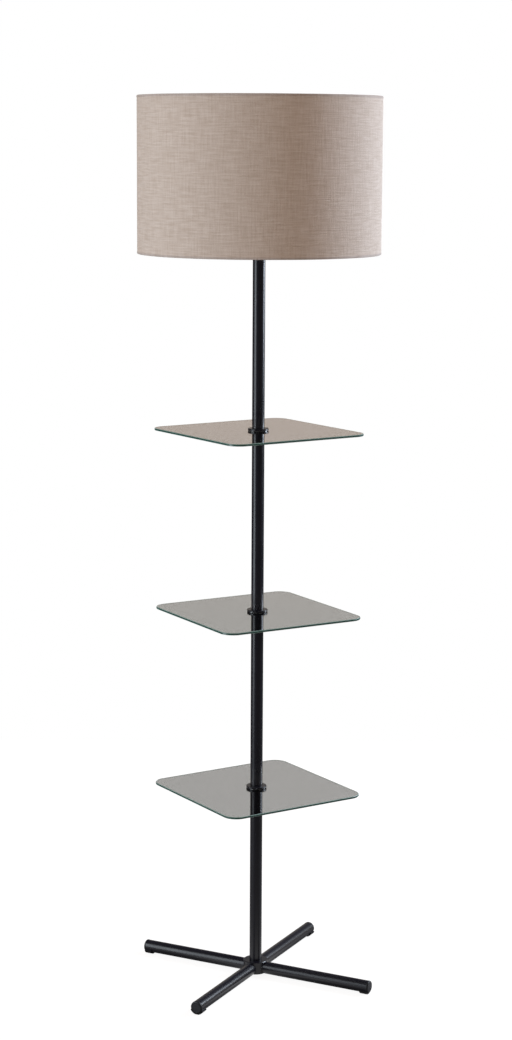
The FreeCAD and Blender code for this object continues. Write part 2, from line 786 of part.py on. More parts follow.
def make_switch():
    """Rotary switch: a core under the ledge, and a stem and ribbed knob that turn together."""
    core = ring("switch_core", "0", f"{cavity_radius} - {loose_gap}",
                switch_bottom, f"{ledge_bottom} - {thread_gap}")
    bore = new_sketch(core, "YZ_Plane")
    bore.setExpression("AttachmentOffset.Base.z", f"{stem_start} - {loose_gap}")
    draw_circle(bore, f"{stem_radius} + {thread_gap}", up=stem_height)
    cut(core, bore, toward=Vector(1, 0, 0))
    place(core, pole_top)
    keep(core)

    stem = turned("switch_stem", [
        (stem_start, "0"),
        (stem_end, "0"),
        (stem_end, stem_radius),
        (stem_start, stem_radius),
    ], axis="H_Axis")
    place(stem, f"{pole_top} + {stem_height}")
    keep(stem)

    knob_start = f"({cap_radius} + {knob_stand_off})"
    knob_end = f"({knob_start} + {knob_length})"
    knob_radius = f"({knob_dia} / 2)"
    socket_end = f"({stem_end} + {loose_gap})"
    knob = turned("switch_knob", [
        (knob_start, f"{stem_radius} + {thread_gap}"),
        (socket_end, f"{stem_radius} + {thread_gap}"),
        (socket_end, "0"),
        (knob_end, "0"),
        (knob_end, knob_radius),
        (knob_start, knob_radius),
    ], axis="H_Axis")
    end_place = number(knob_end)
    dress(knob, "Fillet", "Radius", knob_round, lambda edge: (
        abs(edge.CenterOfMass.x - end_place) < 0.01 and edge.BoundBox.XLength < 0.01
    ))
    groove_sketch = new_sketch(knob, "YZ_Plane")
    draw_circle(groove_sketch, f"{knob_groove_dia} / 2", up=knob_radius)
    groove = cut(knob, groove_sketch)
    around(knob, groove, groove_sketch, "N_Axis", knob_grooves, "grooves")
    place(knob, f"{pole_top} + {stem_height}")
    keep(knob)


def make_ring_nut():
    """Notched ring nut on the socket's sleeve that clamps the shade's fitter."""
    nut = ring("shade_ring_nut", f"{sleeve_radius} + {thread_gap}", f"{ring_nut_dia} / 2",
               "0", ring_nut_height)
    notch_sketch = new_sketch(nut, "XY_Plane")
    draw_circle(notch_sketch, f"{ring_nut_notch_dia} / 2", across=f"{ring_nut_dia} / 2")
    notch = cut(nut, notch_sketch)
    around(nut, notch, notch_sketch, "N_Axis", ring_nut_notches, "notches")
    place(nut, f"{pole_top} + {shoulder_height} + {fitter_thick} + {turn_gap}")
    keep(nut)


def make_bulb():
    """Lamp bulb: a metal screw base, a moulded body and a frosted globe."""
    tip_radius = f"({bulb_tip_dia} / 2)"
    base_top = f"({bulb_start} + {bulb_base_height})"
    cone_top = f"({bulb_start} + {bulb_tip_cone})"
    base = turned("bulb_base", [
        ("0", bulb_start),
        (tip_radius, bulb_start),
        (bulb_thread_radius, cone_top),
        (bulb_thread_radius, base_top),
        (f"{bulb_thread_radius} - {bulb_base_metal}", base_top),
        (f"{bulb_thread_radius} - {bulb_base_metal}", f"{cone_top} + {bulb_base_metal}"),
        (f"{tip_radius} - {bulb_base_metal}", f"{bulb_start} + {bulb_base_metal}"),
        ("0", f"{bulb_start} + {bulb_base_metal}"),
    ])
    globe_radius = f"({globe_dia} / 2)"
    mouth_radius = f"sqrt({globe_radius} ^ 2 - {globe_cut} ^ 2)"
    body_top = f"({base_top} + {bulb_body_height})"
    body = turned("bulb_body", [
        ("0", base_top),
        (bulb_thread_radius, base_top),
        (bulb_thread_radius, f"{base_top} + {bulb_neck}"),
        (mouth_radius, body_top),
        ("0", body_top),
    ])
    outside = doc.addObject("Part::Sphere", "globe_outside")
    outside.setExpression("Radius", globe_radius)
    outside.setExpression("Angle1", f"-asin({globe_cut} / {globe_radius})")
    inside = doc.addObject("Part::Sphere", "globe_inside")
    inside.setExpression("Radius", f"{globe_radius} - {globe_wall}")
    globe = doc.addObject("Part::Cut", "bulb_globe")
    globe.Label = "bulb_globe"
    globe.Base = outside
    globe.Tool = inside
    for piece, level in ((base, "0"), (body, "0"), (globe, f"{body_top} + {globe_cut}")):
        place(piece, f"{pole_top} + {level}")
        keep(piece)


# ---------------------------------------------------------------------------------------------
# Shade
# ---------------------------------------------------------------------------------------------

def make_drum():
    """Cloth over a stiff liner, with a wire ring inside each rim."""
    cloth = ring("shade_cloth", f"{shade_radius} - {cloth_thick}", shade_radius, "0", shade_height)
    liner = ring("shade_liner", f"{liner_radius} - {liner_thick}", liner_radius,
                 liner_inset, f"{shade_height} - {liner_inset}")
    for piece in (cloth, liner):
        place(piece, shade_bottom)
        keep(piece)
    for name, level in (("shade_bottom_wire", f"{shade_bottom} + {rim_wire_inset}"),
                        ("shade_top_wire", f"{shade_top} - {rim_wire_inset}")):
        wire = doc.addObject("Part::Torus", name)
        wire.Label = name
        wire.setExpression("Radius1", rim_wire_radius)
        wire.setExpression("Radius2", f"{rim_wire_dia} / 2")
        place(wire, level)
        keep(wire)


def make_arm(index):
    """One wire arm: level from the fitter ring, then sloping down to the bottom wire."""
    wire_radius = f"({arm_wire_dia} / 2)"
    arm_level = f"({fitter_thick} / 2)"
    arm_start = f"({fitter_dia} / 2 - {wire_radius})"
    run = f"({rim_wire_radius} - {rim_wire_dia} / 2 - {arm_bend_radius})"
    drop = f"({shoulder_height} + {shade_drop} - {rim_wire_inset} + {arm_level})"
    level_part = rod(f"arm_level_{index}", wire_radius, f"{arm_bend_radius} - {arm_start}")
    slope_part = rod(f"arm_slope_{index}", wire_radius, f"sqrt({run} ^ 2 + {drop} ^ 2)")
    elbow = doc.addObject("Part::Sphere", f"arm_elbow_{index}")
    elbow.setExpression("Radius", wire_radius)
    for piece, across, pitch in (
        (level_part, arm_start, "90 deg"),
        (slope_part, arm_bend_radius, f"90 deg + atan({drop} / {run})"),
        (elbow, arm_bend_radius, "0 deg"),
    ):
        turn = f"rotation(vector(0; 1; 0); {pitch})"
        piece.setExpression("Placement", f"placement(vector({across}; 0; {arm_level}); {turn})")
    arm = fuse(f"shade_arm_{index}", [level_part, elbow, slope_part])
    place(arm, "0", f"90 + {index} * 360 / {arm_count}")
    return arm


def make_spider():
    """Fitter ring with its arms, one piece of bent and welded wire."""
    fitter = ring("fitter_ring", f"{sleeve_radius} + {sleeve_gap}", f"{fitter_dia} / 2", "0", fitter_thick)
    arms = [make_arm(index) for index in range(int(number(arm_count)))]
    spider = fuse("shade_spider", [fitter] + arms)
    place(spider, f"{pole_top} + {shoulder_height}")
    keep(spider)


# ---------------------------------------------------------------------------------------------
# Build, check and write
# ---------------------------------------------------------------------------------------------

make_hub()
make_legs()
make_foot_caps()
make_leg_fastenings()
make_grommet()
make_pole()
group("shelf_nipples", [make_shelf(*shelf) for shelf in SHELVES])
group("nipple_nuts", [make_base_fixing(), make_socket_cap()])
make_lead()
make_socket_body()
make_contacts()
make_switch()
make_ring_nut()
make_bulb()
make_drum()
make_spider()

doc.recompute()
for item in doc.Objects:
    if "Invalid" in item.State or "Error" in item.State:
        raise RuntimeError(f"{item.Label}: {item.State}")
for piece in parts:
    if piece.Shape.isNull() or not piece.Shape.isValid():
        raise RuntimeError(f"{piece.Label}: no valid shape")

os.makedirs("parts", exist_ok=True)
for piece in parts:
    piece.Shape.exportStep(f"parts/{piece.Label}.step")
    print(f"{piece.Label}: {len(piece.Shape.Solids)} solid, {piece.Shape.Volume / 1000:.2f} cm3")
print(f"{len(parts)} pieces, {number(shade_top):.1f} mm tall")
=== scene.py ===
# %% [markdown]
# # Shelf floor lamp
# A floor lamp: four steel legs on a hub, a steel pole that carries three smoked glass shelves,
# and a linen drum shade on top. The hard pieces arrive as finished shapes from the CAD model, so
# here they only get their finishes. Four things are built here: the camera, the cloth of the
# shade, the thread on its socket, and a small photo studio. Everything is in metres, with the
# origin on the floor under the pole and the front of the lamp towards -Y.

# %% Load the CAD model
import json
import math

import bpy
from mathutils import Matrix, Vector

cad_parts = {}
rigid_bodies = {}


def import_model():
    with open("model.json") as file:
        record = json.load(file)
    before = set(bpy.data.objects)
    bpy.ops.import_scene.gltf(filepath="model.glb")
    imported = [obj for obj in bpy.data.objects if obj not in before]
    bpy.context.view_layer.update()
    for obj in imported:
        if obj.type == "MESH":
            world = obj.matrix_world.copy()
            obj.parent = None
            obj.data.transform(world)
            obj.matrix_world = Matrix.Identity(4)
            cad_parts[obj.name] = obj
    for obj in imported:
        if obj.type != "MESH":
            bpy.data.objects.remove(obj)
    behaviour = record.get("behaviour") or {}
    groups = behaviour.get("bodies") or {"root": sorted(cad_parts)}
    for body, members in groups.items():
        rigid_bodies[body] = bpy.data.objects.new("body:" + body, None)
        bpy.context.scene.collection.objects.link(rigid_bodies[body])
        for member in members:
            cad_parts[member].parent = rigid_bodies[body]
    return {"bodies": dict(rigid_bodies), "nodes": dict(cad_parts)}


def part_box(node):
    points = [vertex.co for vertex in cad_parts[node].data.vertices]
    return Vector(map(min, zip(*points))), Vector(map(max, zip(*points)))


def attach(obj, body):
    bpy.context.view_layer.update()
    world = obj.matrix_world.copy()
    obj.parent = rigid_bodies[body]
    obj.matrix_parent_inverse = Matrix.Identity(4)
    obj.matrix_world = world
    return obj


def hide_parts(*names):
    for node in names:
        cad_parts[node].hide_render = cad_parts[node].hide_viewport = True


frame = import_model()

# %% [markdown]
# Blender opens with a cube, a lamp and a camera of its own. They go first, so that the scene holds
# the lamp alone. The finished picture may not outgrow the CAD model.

belongs = set(frame["nodes"].values()) | set(frame["bodies"].values())
for thing in list(bpy.context.scene.objects):
    if thing not in belongs:
        bpy.data.objects.remove(thing)
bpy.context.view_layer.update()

# %% [markdown]
# ## Camera
# The photograph shows the lamp from just under four metres away and from the height of its shade,
# with a long lens. Such a lens keeps the pole nearly parallel. The place and tilt were worked out
# from the edges of the pole, shelves and legs. The picture is upright, so the lens is given for
# its long side.

# %% Camera
PICTURE_HIGH = 1040                 # pixels along the long side
FOCAL_PIXELS = 2240.06
eye = Vector((0.0, -3.9026, 1.5001))
pitch, yaw, roll = (math.radians(angle) for angle in (9.608, -0.046, 0.293))

ahead = Vector((math.sin(yaw) * math.cos(pitch), math.cos(yaw) * math.cos(pitch), -math.sin(pitch)))
level_right = Vector((math.cos(yaw), -math.sin(yaw), 0.0))
level_up = level_right.cross(ahead)
right = math.cos(roll) * level_right + math.sin(roll) * level_up
up = math.cos(roll) * level_up - math.sin(roll) * level_right

camera = bpy.data.objects.new("camera", bpy.data.cameras.new("camera"))
bpy.context.scene.collection.objects.link(camera)
camera.matrix_world = Matrix.Translation(eye) @ Matrix((right, up, -ahead)).transposed().to_4x4()
camera.data.sensor_width = 36.0
camera.data.lens = camera.data.sensor_width * FOCAL_PIXELS / PICTURE_HIGH
bpy.context.scene.camera = camera
print(f"Camera {eye.length:.2f} m from the origin, lens {camera.data.lens:.1f} mm")

# %% [markdown]
# ## Two small tools for materials
# Colours are written as sRGB hex values, the way a colour picker shows them, but a shader works
# in linear light. One function converts them. Another adds a node to a tree with its settings,
# and fills its sockets: a socket takes either a plain value or another node's output, which
# becomes a link.

# %% Colour and node helpers
def linear(hex_colour):
    """A colour such as '#b8a89a' as linear red, green, blue and alpha."""
    parts = [int(hex_colour[at:at + 2], 16) / 255 for at in (1, 3, 5)]
    return [c / 12.92 if c <= 0.04045 else ((c + 0.055) / 1.055) ** 2.4 for c in parts] + [1.0]


def add(tree, kind, inputs=None, **settings):
    """Add a node, set its properties, and give its sockets their values or links."""
    made = tree.nodes.new(kind)
    for name, value in settings.items():
        setattr(made, name, value)
    for socket, value in (inputs or {}).items():
        if isinstance(value, bpy.types.NodeSocket):
            tree.links.new(value, made.inputs[socket])
        else:
            made.inputs[socket].default_value = value
    return made


def new_finish(name, **constants):
    """A new material with its shader's fixed values set; returns material, tree and shader."""
    material = bpy.data.materials.new(name)
    material.use_nodes = True
    shader = material.node_tree.nodes["Principled BSDF"]
    for socket, value in constants.items():
        shader.inputs[socket.replace("_", " ")].default_value = value
    return material, material.node_tree, shader


print("#808080 in linear light is", round(linear("#808080")[0], 4))

# %% [markdown]
# ## Surface variation that most finishes share
# No real surface has one colour and one gloss. Cast, moulded and sprayed surfaces all vary a
# little over a few centimetres, and carry a fine texture that breaks up highlights. Both come
# from noise in object coordinates, with a scale in features per metre, so a 1.2 mm texture has a
# scale of 830.

# %% Variation and texture helper
def vary(tree, shader, colours, roughness, patch_mm, grain_mm, grain_depth_mm):
    """Drift the colour and roughness over patches of patch_mm, and emboss a grain of grain_mm."""
    place = add(tree, "ShaderNodeTexCoord").outputs["Object"]
    patches = add(tree, "ShaderNodeTexNoise", {
        "Vector": place, "Scale": 1000 / patch_mm, "Detail": 3.0,
    })
    tint = add(tree, "ShaderNodeMix", {
        "Factor": patches.outputs["Fac"], 6: linear(colours[0]), 7: linear(colours[1]),
    }, data_type="RGBA")
    gloss = add(tree, "ShaderNodeMapRange", {
        "Value": patches.outputs["Fac"], "From Min": 0.3, "From Max": 0.7,
        "To Min": roughness[0], "To Max": roughness[1],
    })
    grain = add(tree, "ShaderNodeTexNoise", {
        "Vector": place, "Scale": 1000 / grain_mm, "Detail": 2.0,
    })
    relief = add(tree, "ShaderNodeBump", {
        "Height": grain.outputs["Fac"], "Distance": grain_depth_mm / 1000, "Strength": 1.0,
    })
    tree.links.new(tint.outputs[2], shader.inputs["Base Color"])
    tree.links.new(gloss.outputs["Result"], shader.inputs["Roughness"])
    tree.links.new(relief.outputs["Normal"], shader.inputs["Normal"])
    return tint, relief


finishes = {}

# %% [markdown]
# Two materials need to know how far a point is from the line of the nearest leg: the caps, and
# the floor beside the legs. All four legs lie on two crossed lines, so once the coordinates are
# turned by the angle of the first leg, the smaller of |x| and |y| serves all of them.

# %% Distance from the nearest leg
FIRST_LEG_YAW = math.radians(-26.74)


def from_leg_line(tree, axes):
    """Add nodes for the level distance to the nearest leg; axes splits the turned coordinates."""
    place = add(tree, "ShaderNodeTexCoord").outputs["Object"]
    turned = add(tree, "ShaderNodeMapping", {
        "Vector": place, "Rotation": (0.0, 0.0, -FIRST_LEG_YAW),
    })
    tree.links.new(turned.outputs["Vector"], axes.inputs["Vector"])
    sizes = [add(tree, "ShaderNodeMath", {0: axes.outputs[name]}, operation="ABSOLUTE")
             for name in "XY"]
    return add(tree, "ShaderNodeMath", {0: sizes[0].outputs[0], 1: sizes[1].outputs[0]},
               operation="MINIMUM").outputs[0]


# %% [markdown]
# ## Satin black powder coat
# The pole, legs, hub, flanges and socket cap are steel with a baked polyester powder coat. The
# powder melts into a film that covers the metal, so the material is a dielectric and not a metal:
# black with a hint of blue, and a soft white highlight. Matting wax at the surface takes about a
# quarter of that highlight away. As the film flows it keeps a faint orange peel, about a
# millimetre across and a thousandth deep. With the matt surface it spreads the long highlight on
# a round tube.

# %% Powder-coated steel
coat, tree, shader = new_finish("satin_black_powder_coat", IOR=1.5, Specular_IOR_Level=0.38)
vary(tree, shader, ("#0b0b13", "#12121a"), (0.26, 0.32), 60, 1.2, 0.0008)
finishes["steel_black"] = coat
print("Made", coat.name)

# %% [markdown]
# ## Smoked float glass
# The shelves are 4 mm grey float glass. Light that passes through once keeps about a third of its
# strength. The faces are fire-polished and clear. The rim is ground: seen from the side, light
# has travelled a long way inside the glass, so the rim looks nearly black with a green cast, and
# the narrow bevel along it, the arris, stays matt and catches a pale line. One material does all
# three by reading how far the surface faces up: 1 on a face, about 0.7 on the arris, and 0 on the
# rim. Ground glass scatters light at its surface, so arris and rim let only part of it through.

# %% Smoked glass
glass, tree, shader = new_finish("smoked_float_glass", IOR=1.52)
facing = add(tree, "ShaderNodeNewGeometry").outputs["True Normal"]
upright = add(tree, "ShaderNodeSeparateXYZ", {"Vector": facing}).outputs["Z"]
tilt = add(tree, "ShaderNodeMath", {0: upright}, operation="ABSOLUTE").outputs[0]
ARRIS, FACE = 0.4, 0.9                          # from this much upright on; below is the rim
for socket, values in (
    ("Base Color", ("#2c4f49", "#86aaa3", "#959493")),
    ("Roughness", (0.25, 0.45, 0.0)),
    ("Transmission Weight", (0.15, 0.4, 1.0)),
):
    steps = add(tree, "ShaderNodeValToRGB", {"Fac": tilt})
    steps.color_ramp.interpolation = "CONSTANT"
    steps.color_ramp.elements[1].position = FACE
    steps.color_ramp.elements.new(ARRIS)
    for mark, value in zip(steps.color_ramp.elements, values):
        mark.color = linear(value) if isinstance(value, str) else (value, value, value, 1.0)
    tree.links.new(steps.outputs["Color"], shader.inputs[socket])
finishes["glass_smoke"] = glass
print("Made", glass.name)

# %% [markdown]
# ## Moulded plastic on the feet
# Each leg ends in a cap of black polyethylene with a sole below it. A mould gives it a fine even
# grain. The end of the cap is a shallow dish, and the middle of the disc is drawn a little lighter
# than the rim round it. The dish is drawn from the distance to the leg's axis.

# %% Black polyethylene
LEG_AXIS_HEIGHT = 0.0132
DISH_RIM, DISH_FLOOR = 0.0084, 0.0078           # metres from the leg's axis
DISH_DEPTH = 0.0004
cap, tree, shader = new_finish("moulded_black_polyethylene", IOR=1.51, Specular_IOR_Level=0.4)
tint, relief = vary(tree, shader, ("#0d0e11", "#15161a"), (0.42, 0.52), 15, 0.7, 0.008)
axes = add(tree, "ShaderNodeSeparateXYZ")
side = from_leg_line(tree, axes)
rise = add(tree, "ShaderNodeMath", {0: axes.outputs["Z"], 1: LEG_AXIS_HEIGHT}, operation="SUBTRACT")
offset = add(tree, "ShaderNodeCombineXYZ", {"X": side, "Z": rise.outputs[0]})
from_axis = add(tree, "ShaderNodeVectorMath", {0: offset.outputs["Vector"]}, operation="LENGTH")
dish = add(tree, "ShaderNodeMapRange", {
    "Value": from_axis.outputs["Value"], "From Min": DISH_RIM, "From Max": DISH_FLOOR,
}, interpolation_type="SMOOTHSTEP")
# The middle of the disc is drawn a little lighter than its rim.
lighter_middle = add(tree, "ShaderNodeMix", {
    "Factor": dish.outputs["Result"], 6: tint.outputs[2], 7: linear("#1f2126"),
}, data_type="RGBA")
dished = add(tree, "ShaderNodeBump", {
    "Height": dish.outputs["Result"], "Distance": DISH_DEPTH, "Normal": relief.outputs["Normal"],
}, invert=True)
tree.links.new(lighter_middle.outputs[2], shader.inputs["Base Color"])
tree.links.new(dished.outputs["Normal"], shader.inputs["Normal"])
finishes["plastic_black"] = cap
print("Made", cap.name)

# %% [markdown]
# ## Small fittings
# The other pieces are mostly hidden, but each is still what it is. Rubber is matt and greyish.
# The gaskets are clear vinyl. Nuts, nipples and inserts are zinc-plated steel, which is a metal:
# it reflects with its own colour and has no separate white highlight. The contacts and the screw
# shell are rolled brass. The socket, ring nut and knob are black phenolic, pressed in a polished
# mould.

# %% Rubber, vinyl, zinc, brass and phenolic
def simple(slot, name, colours, roughness, patch_mm, grain_mm, grain_depth_mm, **constants):
    """A finish that needs no more than colour drift, gloss drift and grain."""
    material, tree, shader = new_finish(name, **constants)
    vary(tree, shader, colours, roughness, patch_mm, grain_mm, grain_depth_mm)
    finishes[slot] = material
    print("Made", name)


simple("rubber_black", "matt_black_rubber", ("#17171a", "#222226"), (0.7, 0.85),
       6, 0.4, 0.02, IOR=1.52)
simple("gasket_clear", "clear_vinyl", ("#dfe4e2", "#eef1ef"), (0.18, 0.3),
       8, 0.8, 0.01, IOR=1.53, Transmission_Weight=0.95)
simple("steel_zinc", "zinc_plated_steel", ("#b9bdc2", "#cfd2d4"), (0.28, 0.42),
       9, 0.25, 0.004, Metallic=1.0)
simple("brass", "rolled_brass", ("#c9a45c", "#d9b976"), (0.2, 0.34),
       7, 0.3, 0.003, Metallic=1.0)
simple("socket_black", "pressed_black_phenolic", ("#131315", "#1b1a1c"), (0.26, 0.36),
       12, 0.5, 0.006, IOR=1.6)

# %% [markdown]
# ## Bulb and lead
# The socket's insulator is glazed steatite, a dense white ceramic. The bulb has a nickel-plated
# screw base, a smooth white polycarbonate body and an opal globe, which looks milky because the
# light scatters just under its surface. The lead in the pole has a plain white vinyl sheath.

# %% Ceramic, bulb, wire and sheath
simple("ceramic_white", "glazed_steatite", ("#e9e5dc", "#f3f0ea"), (0.12, 0.22),
       10, 1.5, 0.01, IOR=1.6)
simple("bulb_metal", "nickel_plated_brass", ("#c4bfb4", "#d6d2c8"), (0.22, 0.34),
       6, 0.3, 0.003, Metallic=1.0)
simple("bulb_white", "white_polycarbonate", ("#eceae5", "#f4f3ef"), (0.28, 0.36),
       20, 0.6, 0.006, IOR=1.58)
simple("bulb_frost", "opal_polycarbonate", ("#f1eee6", "#f8f6f0"), (0.42, 0.5),
       25, 0.35, 0.006, IOR=1.58, Subsurface_Weight=0.25, Subsurface_Scale=0.004)
simple("wire_white", "white_enamelled_wire", ("#e6e3dc", "#f0eee8"), (0.3, 0.42),
       14, 0.9, 0.01, IOR=1.5)
simple("lead_white", "white_vinyl_sheath", ("#dedcd6", "#e8e6e1"), (0.45, 0.55),
       18, 0.6, 0.01, IOR=1.53)

# %% [markdown]
# ## Lining of the shade
# A drum shade keeps its shape because the cloth is glued to a sheet of white styrene. Seen from
# inside the sheet is smooth and slightly glossy, and the weave behind it shows through as a faint
# print. The print follows the wall, so it is drawn on the angle round the axis and on the height.

# %% Styrene lining
SHADE_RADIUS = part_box("shade_cloth")[1].x
ALONG_THREAD, ACROSS_THREAD = 40.0, 420.0       # features per metre
lining, tree, shader = new_finish("white_styrene_lining", IOR=1.59)
tint = vary(tree, shader, ("#e9e5dd", "#f1eee8"), (0.36, 0.46), 90, 3.0, 0.02)[0]
place = add(tree, "ShaderNodeTexCoord").outputs["Object"]
axes = add(tree, "ShaderNodeSeparateXYZ", {"Vector": place})
angle = add(tree, "ShaderNodeMath", {0: axes.outputs["X"], 1: axes.outputs["Y"]},
            operation="ARCTAN2")
arc = add(tree, "ShaderNodeMath", {0: angle.outputs[0], 1: SHADE_RADIUS}, operation="MULTIPLY")
wall = add(tree, "ShaderNodeCombineXYZ", {"X": arc.outputs[0], "Y": axes.outputs["Z"]})
ghosts = []
for stretch in ((ALONG_THREAD, ACROSS_THREAD, 1.0), (ACROSS_THREAD, ALONG_THREAD, 1.0)):
    drawn = add(tree, "ShaderNodeMapping", {"Vector": wall.outputs["Vector"], "Scale": stretch})
    ghosts.append(add(tree, "ShaderNodeTexNoise", {
        "Vector": drawn.outputs["Vector"], "Scale": 1.0,
    }))
ghost = add(tree, "ShaderNodeMath", {0: ghosts[0].outputs["Fac"], 1: ghosts[1].outputs["Fac"]},
            operation="ADD")
faint = add(tree, "ShaderNodeMapRange", {
    "Value": ghost.outputs[0], "From Min": 0.7, "From Max": 1.3, "To Min": 0.0, "To Max": 0.35,
})
shown = add(tree, "ShaderNodeMix", {
    "Factor": faint.outputs["Result"], 6: tint.outputs[2], 7: linear("#d8cfc2"),
}, data_type="RGBA")
tree.links.new(shown.outputs[2], shader.inputs["Base Color"])
finishes["shade_lining"] = lining
print("Made", lining.name)

# %% [markdown]
# ## Slub linen
# The cloth is a plain weave of undyed linen. Flax spins unevenly: thick places, called slubs, run
# for a few centimetres along single threads, both up the shade and round it. From a few steps
# away the eye loses the weave and sees these streaks. So the material has two layers. The first
# is the weave itself, with threads 1.1 mm apart (real ones are about half that, too fine to show
# here). The second is the streaks: noise stretched about fourteen to one, once along each
# direction.
#
# It reads a UV map that holds real metres of cloth, round the shade and up it, so the threads
# keep their size wherever the cloth bends. Loose fibre ends catch light at a grazing angle: that
# is sheen.

# %% Linen: the weave
THREAD = 0.0011
STRAY = 0.0009                                  # how far a thread strays from its line
linen, tree, shader = new_finish("undyed_slub_linen", IOR=1.45, Roughness=0.85, Sheen_Weight=0.12,
                                 Sheen_Roughness=0.4)
shader.inputs["Sheen Tint"].default_value = linear("#f3f1ee")
cloth_place = add(tree, "ShaderNodeUVMap", uv_map="UVMap").outputs["UV"]
wander = add(tree, "ShaderNodeTexNoise", {"Vector": cloth_place, "Scale": 120.0, "Detail": 1.0})
swing = add(tree, "ShaderNodeVectorMath", {0: wander.outputs["Color"], 1: (0.5, 0.5, 0.5)},
            operation="SUBTRACT")
wandered = add(tree, "ShaderNodeVectorMath", {
    0: swing.outputs["Vector"], 1: (STRAY, STRAY, 0.0), 2: cloth_place,
}, operation="MULTIPLY_ADD")
phase = add(tree, "ShaderNodeVectorMath", {
    0: wandered.outputs["Vector"], "Scale": math.pi / THREAD,
}, operation="SCALE")
waves = add(tree, "ShaderNodeVectorMath", {0: phase.outputs["Vector"]}, operation="SINE")
split = add(tree, "ShaderNodeSeparateXYZ", {"Vector": waves.outputs["Vector"]})
crossing = add(tree, "ShaderNodeMath", {0: split.outputs["X"], 1: split.outputs["Y"]},
               operation="MULTIPLY")
raised = []
for axis, over in (("X", 1.0), ("Y", -1.0)):
    round_thread = add(tree, "ShaderNodeMath", {0: split.outputs[axis]}, operation="ABSOLUTE")
    raised.append(add(tree, "ShaderNodeMath", {
        0: crossing.outputs[0], 1: over, 2: round_thread.outputs[0],
    }, operation="MULTIPLY_ADD"))
weave = add(tree, "ShaderNodeMath", {0: raised[0].outputs[0], 1: raised[1].outputs[0]},
            operation="MAXIMUM")
print("Weave of", round(1 / THREAD / 100, 1), "threads per centimetre")

# %% [markdown]
# The streaks come next. Both directions are drawn with a sharp and a soft part, so that some
# threads stand out and the rest only mottle. The threads round the shade are the more uneven
# ones, so their streaks weigh more. They darken and lighten the cloth by up to a tenth, and the
# bump thickens them.

# %% Linen: slubs and colour
ROUND_STREAKS, UP_STREAKS = (26.0, 380.0, 1.0), (340.0, 26.0, 1.0)     # features per metre
ROUND_SHARE, UP_SHARE = 0.6, 0.4
streaks = []
for stretch in (ROUND_STREAKS, UP_STREAKS):
    drawn = add(tree, "ShaderNodeMapping", {"Vector": cloth_place, "Scale": stretch})
    noise = add(tree, "ShaderNodeTexNoise", {
        "Vector": drawn.outputs["Vector"], "Scale": 1.0, "Detail": 2.0, "Roughness": 0.6,
    })
    streaks.append(add(tree, "ShaderNodeMapRange", {
        "Value": noise.outputs["Fac"], "From Min": 0.28, "From Max": 0.72,
    }))
upward = add(tree, "ShaderNodeMath", {0: streaks[1].outputs["Result"], 1: UP_SHARE},
             operation="MULTIPLY")
slubs = add(tree, "ShaderNodeMath", {
    0: streaks[0].outputs["Result"], 1: ROUND_SHARE, 2: upward.outputs[0],
}, operation="MULTIPLY_ADD")
flax = add(tree, "ShaderNodeValToRGB", {"Fac": slubs.outputs[0]})
flax.color_ramp.elements[0].position, flax.color_ramp.elements[1].position = 0.2, 0.8
flax.color_ramp.elements[0].color = linear("#b0a59b")
flax.color_ramp.elements[1].color = linear("#c3bbb4")
# Painted shade: the colour darkens where the weave dips between the threads, with a faint painted
# highlight on their crowns.
painted_thread_shade = add(tree, "ShaderNodeMapRange", {
    "Value": weave.outputs[0], "From Min": 0.3, "From Max": 1.6, "To Min": 0.9, "To Max": 1.03,
})
yarn_and_thread_shade = add(tree, "ShaderNodeMix", {
    "Factor": 1.0, 6: flax.outputs["Color"], 7: painted_thread_shade.outputs["Result"],
}, data_type="RGBA", blend_type="MULTIPLY")

# %% [markdown]
# At each rim the cloth is rolled over a wire and glued. The last few millimetres above each rim are
# drawn a little greyer. The hem is drawn on the height, measured from the two rims.

# %% Linen: hems and relief
HEM_FADES, HEM_FULL = 0.0045, 0.0035            # from the rim
THREAD_RELIEF, SLUB_RELIEF = 0.00012, 0.0004
shade_low, shade_high = (corner.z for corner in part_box("shade_cloth"))
height = add(tree, "ShaderNodeSeparateXYZ", {
    "Vector": add(tree, "ShaderNodeTexCoord").outputs["Object"],
}).outputs["Z"]
middle = add(tree, "ShaderNodeMath", {0: height, 1: (shade_low + shade_high) / 2},
             operation="SUBTRACT")
from_middle = add(tree, "ShaderNodeMath", {0: middle.outputs[0]}, operation="ABSOLUTE")
half_height = (shade_high - shade_low) / 2
hem = add(tree, "ShaderNodeMapRange", {
    "Value": from_middle.outputs[0],
    "From Min": half_height - HEM_FADES, "From Max": half_height - HEM_FULL,
}, interpolation_type="SMOOTHSTEP")
greyed = add(tree, "ShaderNodeMix", {
    "Factor": hem.outputs["Result"], 6: (1.0, 1.0, 1.0, 1.0), 7: linear("#e9eaee"),
}, data_type="RGBA")
linen_colour_and_thread_shade = add(tree, "ShaderNodeMix", {
    "Factor": 1.0, 6: yarn_and_thread_shade.outputs[2], 7: greyed.outputs[2],
}, data_type="RGBA", blend_type="MULTIPLY")
thread_relief = add(tree, "ShaderNodeBump", {
    "Height": weave.outputs[0], "Distance": THREAD_RELIEF,
})
cloth_relief = add(tree, "ShaderNodeBump", {
    "Height": slubs.outputs[0], "Distance": SLUB_RELIEF,
    "Normal": thread_relief.outputs["Normal"],
})
tree.links.new(linen_colour_and_thread_shade.outputs[2], shader.inputs["Base Color"])
tree.links.new(cloth_relief.outputs["Normal"], shader.inputs["Normal"])
finishes["shade_linen"] = linen
print("Made", linen.name)

# %% [markdown]
# ## Put the finishes on the CAD pieces
# Every CAD piece arrives with one material slot, named in the model's record. Its placeholder is
# swapped for the finish of that name. The shapes themselves stay as they are.

# %% Assign the finishes
for piece in frame["nodes"].values():
    for place_for_finish in piece.material_slots:
        place_for_finish.material = finishes[place_for_finish.material.name.split(".")[0]]
print("Finished", len(frame["nodes"]), "CAD pieces with", len(finishes), "materials")

